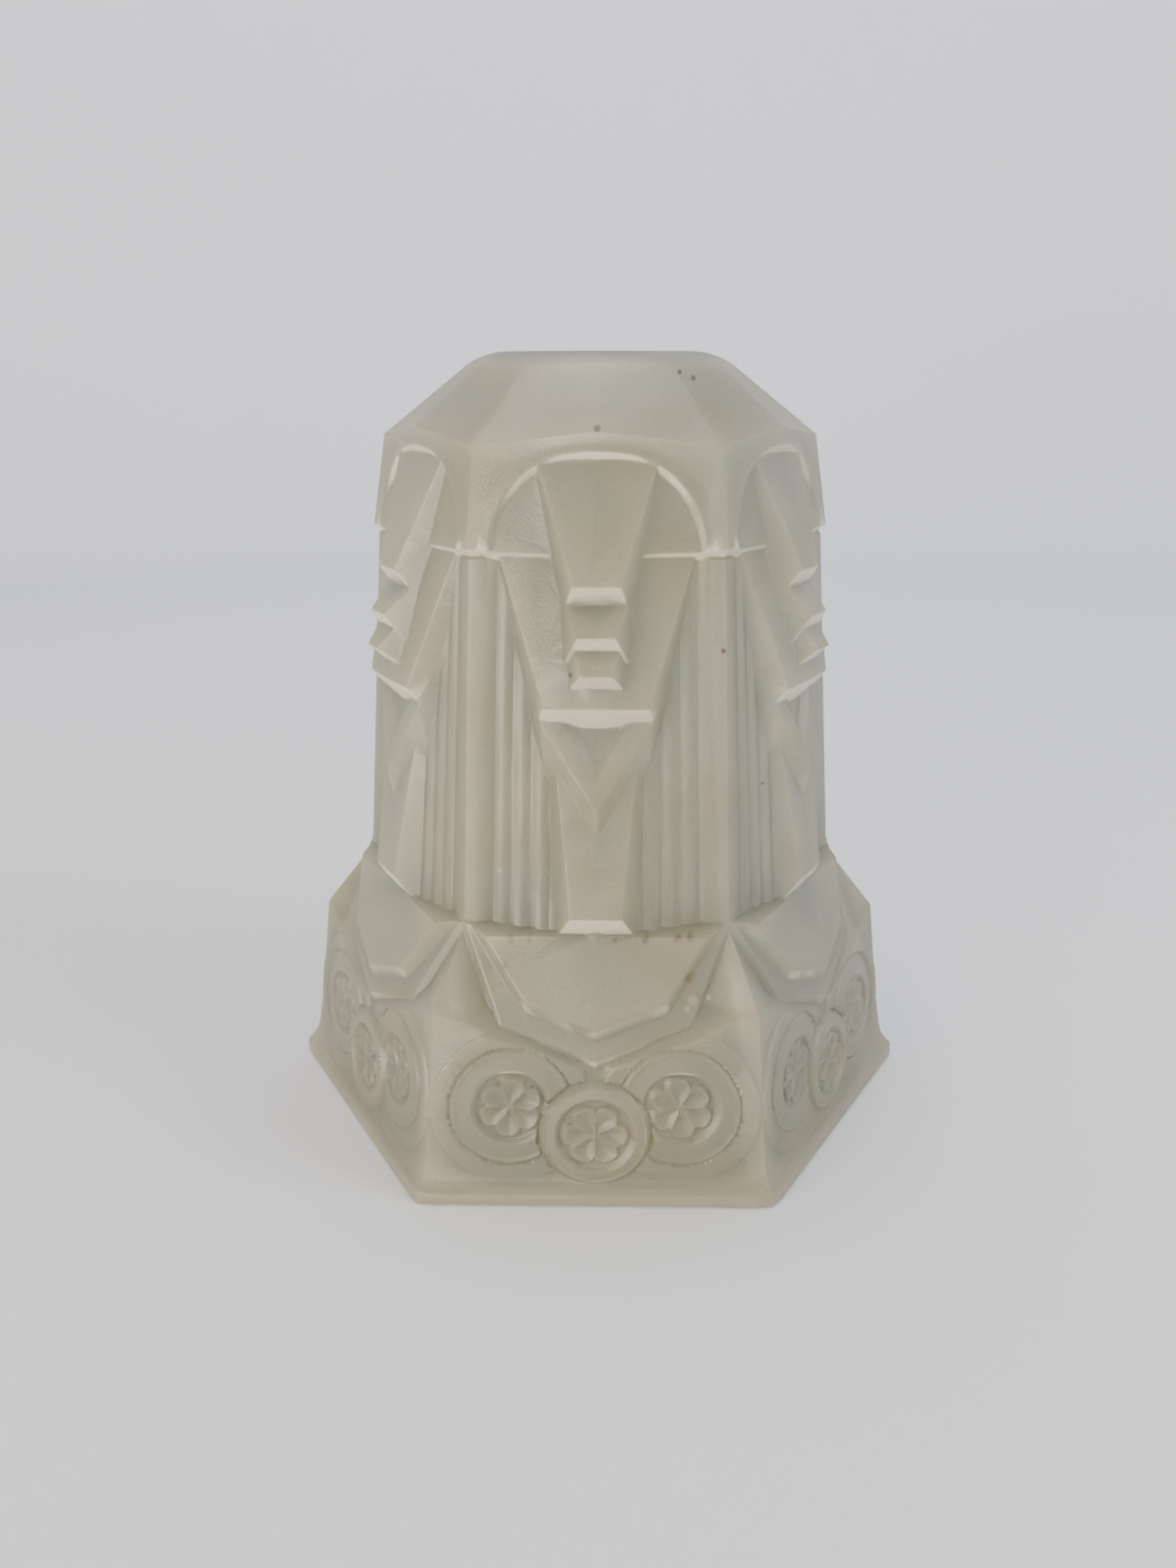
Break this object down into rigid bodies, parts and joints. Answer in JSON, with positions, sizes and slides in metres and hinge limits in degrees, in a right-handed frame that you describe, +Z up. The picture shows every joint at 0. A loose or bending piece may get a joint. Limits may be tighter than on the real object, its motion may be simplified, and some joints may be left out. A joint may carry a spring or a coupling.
{
  "type": "pressed-glass lampshade",
  "caption": "Hexagonal Art Deco lampshade in satin pressed glass, with a flared rim, stepped chevron relief, flower medallions and a fitter hole in its crown.",
  "frame": {"origin": "centre of the rim's underside, on the shade's axis", "axes": "+Z up along the shade's axis towards the crown, one of the six panels faces -Y, and corners lie on +X and -X"},
  "size_m": [0.136, 0.1178, 0.1537],
  "materials": {
    "satin_glass": "acid-etched satin"
  },
  "bodies": {
    "root": {"glass_shade": "satin_glass"}
  },
  "joints": []
}
